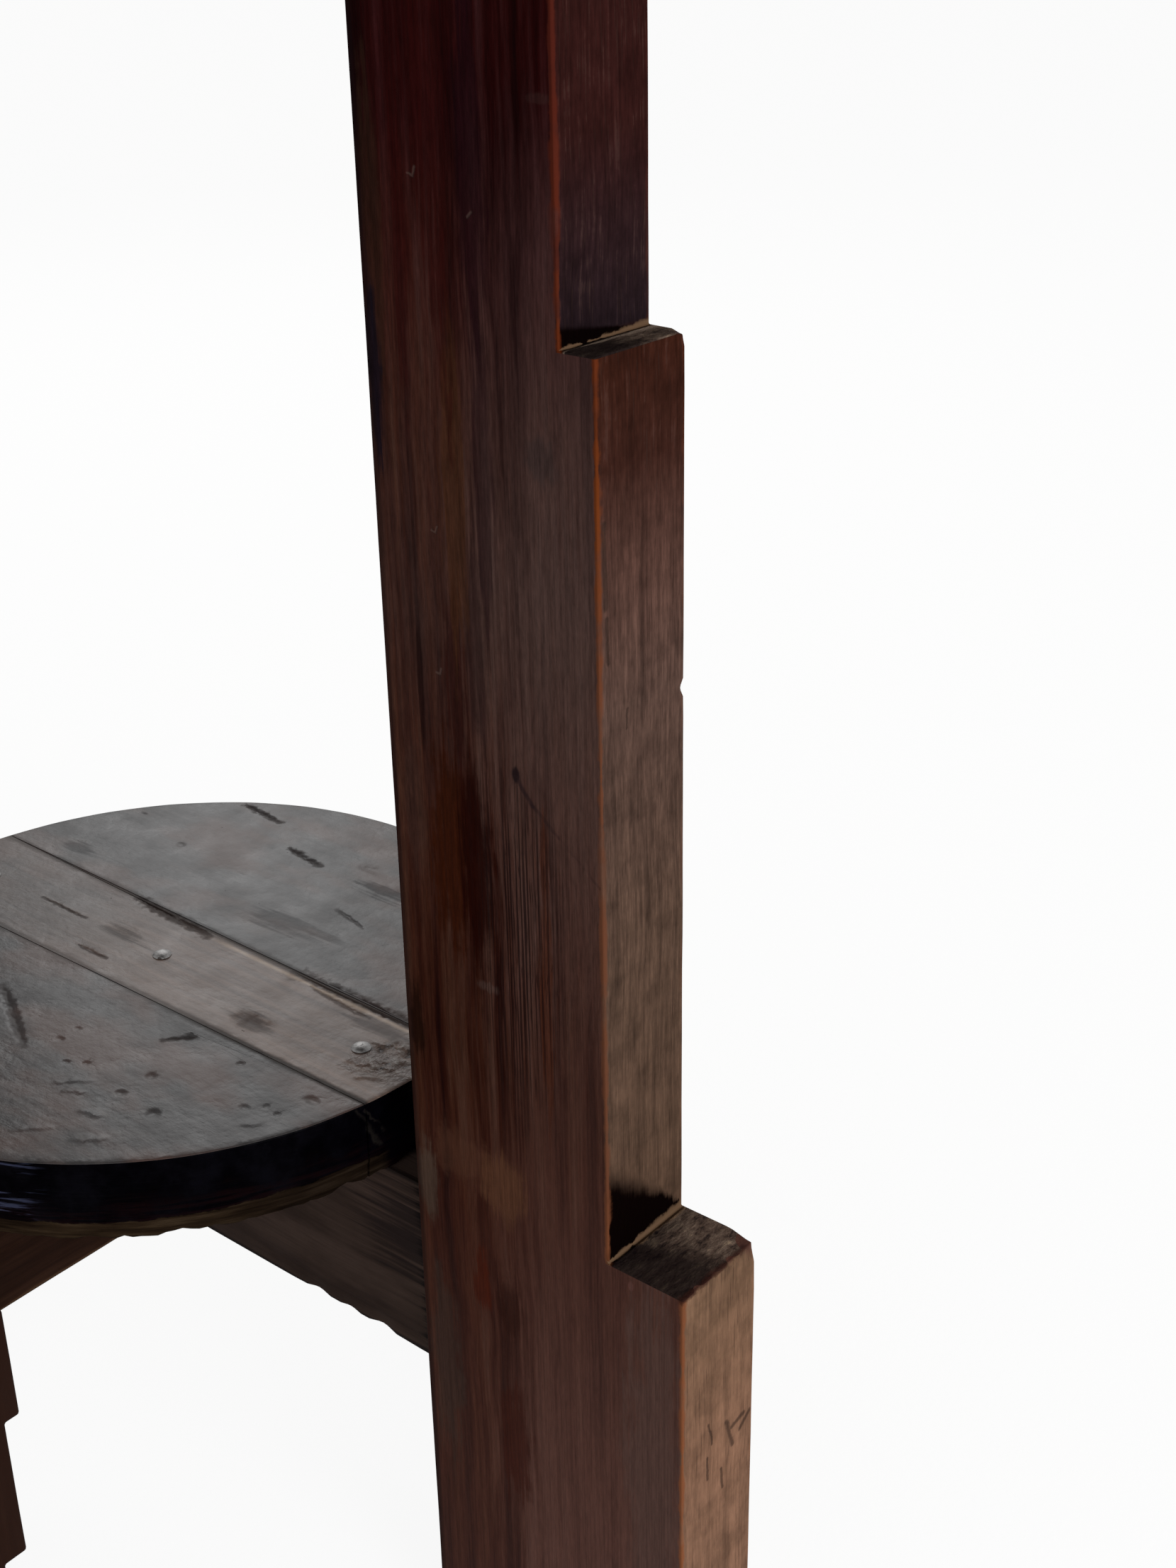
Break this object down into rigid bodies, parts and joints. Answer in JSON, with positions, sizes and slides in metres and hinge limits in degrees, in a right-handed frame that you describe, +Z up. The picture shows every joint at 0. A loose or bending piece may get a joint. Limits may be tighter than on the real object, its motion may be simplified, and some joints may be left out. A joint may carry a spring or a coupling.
{
  "type": "tilt top table",
  "caption": "Round tilt top table on stepped plank standards, with a low round shelf on crossed rails and short stepped feet.",
  "frame": {"origin": "on the floor, on the table's axis, midway between the two standards", "axes": "+Z up; X through the two standards, along the tilt axis; Y through the two short feet"},
  "size_m": [0.6, 0.6, 0.724],
  "materials": {
    "standard_wood": "dark red-brown stain, semi-gloss, worn orange at the arrises",
    "rail_wood": "grey-brown stain, dull",
    "shelf_wood": "dark stain with a grey sheen on top, blue-black rim",
    "top_wood": "dark stain with a grey sheen, worn rim",
    "cleat_wood": "dark stain, dull",
    "dowel_wood": "bare wood",
    "iron": "dull grey, darkened by age"
  },
  "bodies": {
    "base": {"leg_right": "standard_wood", "leg_left": "standard_wood", "foot_front": "standard_wood", "foot_back": "standard_wood", "main_rail": "rail_wood", "cross_rail": "rail_wood", "upper_rail": "rail_wood", "shelf_front_board": "shelf_wood", "shelf_middle_strip": "shelf_wood", "shelf_back_board": "shelf_wood", "shelf_nails": "iron", "shelf_screws": "iron", "pivot_screws": "iron", "pivot_washers": "iron", "latch_keeper": "iron", "keeper_screws": "iron"},
    "top": {"top_board_1": "top_wood", "top_board_2": "top_wood", "top_board_3": "top_wood", "top_board_4": "top_wood", "top_dowels": "dowel_wood", "cleat_right": "cleat_wood", "cleat_left": "cleat_wood", "cleat_screws": "iron", "latch_boss": "cleat_wood", "latch_washer": "iron", "latch_screw": "iron"},
    "button": {"latch_button": "cleat_wood"}
  },
  "joints": [
    {"name": "top_tilt", "type": "hinge", "parent": "base", "child": "top", "pos_m": [0, 0, 0.68], "axis": [1, 0, 0], "range_deg": [0, 90]},
    {"name": "button_turn", "type": "hinge", "parent": "top", "child": "button", "pos_m": [0, 0.0445, 0.68], "axis": [0, 0, -1], "range_deg": [0, 90]}
  ]
}
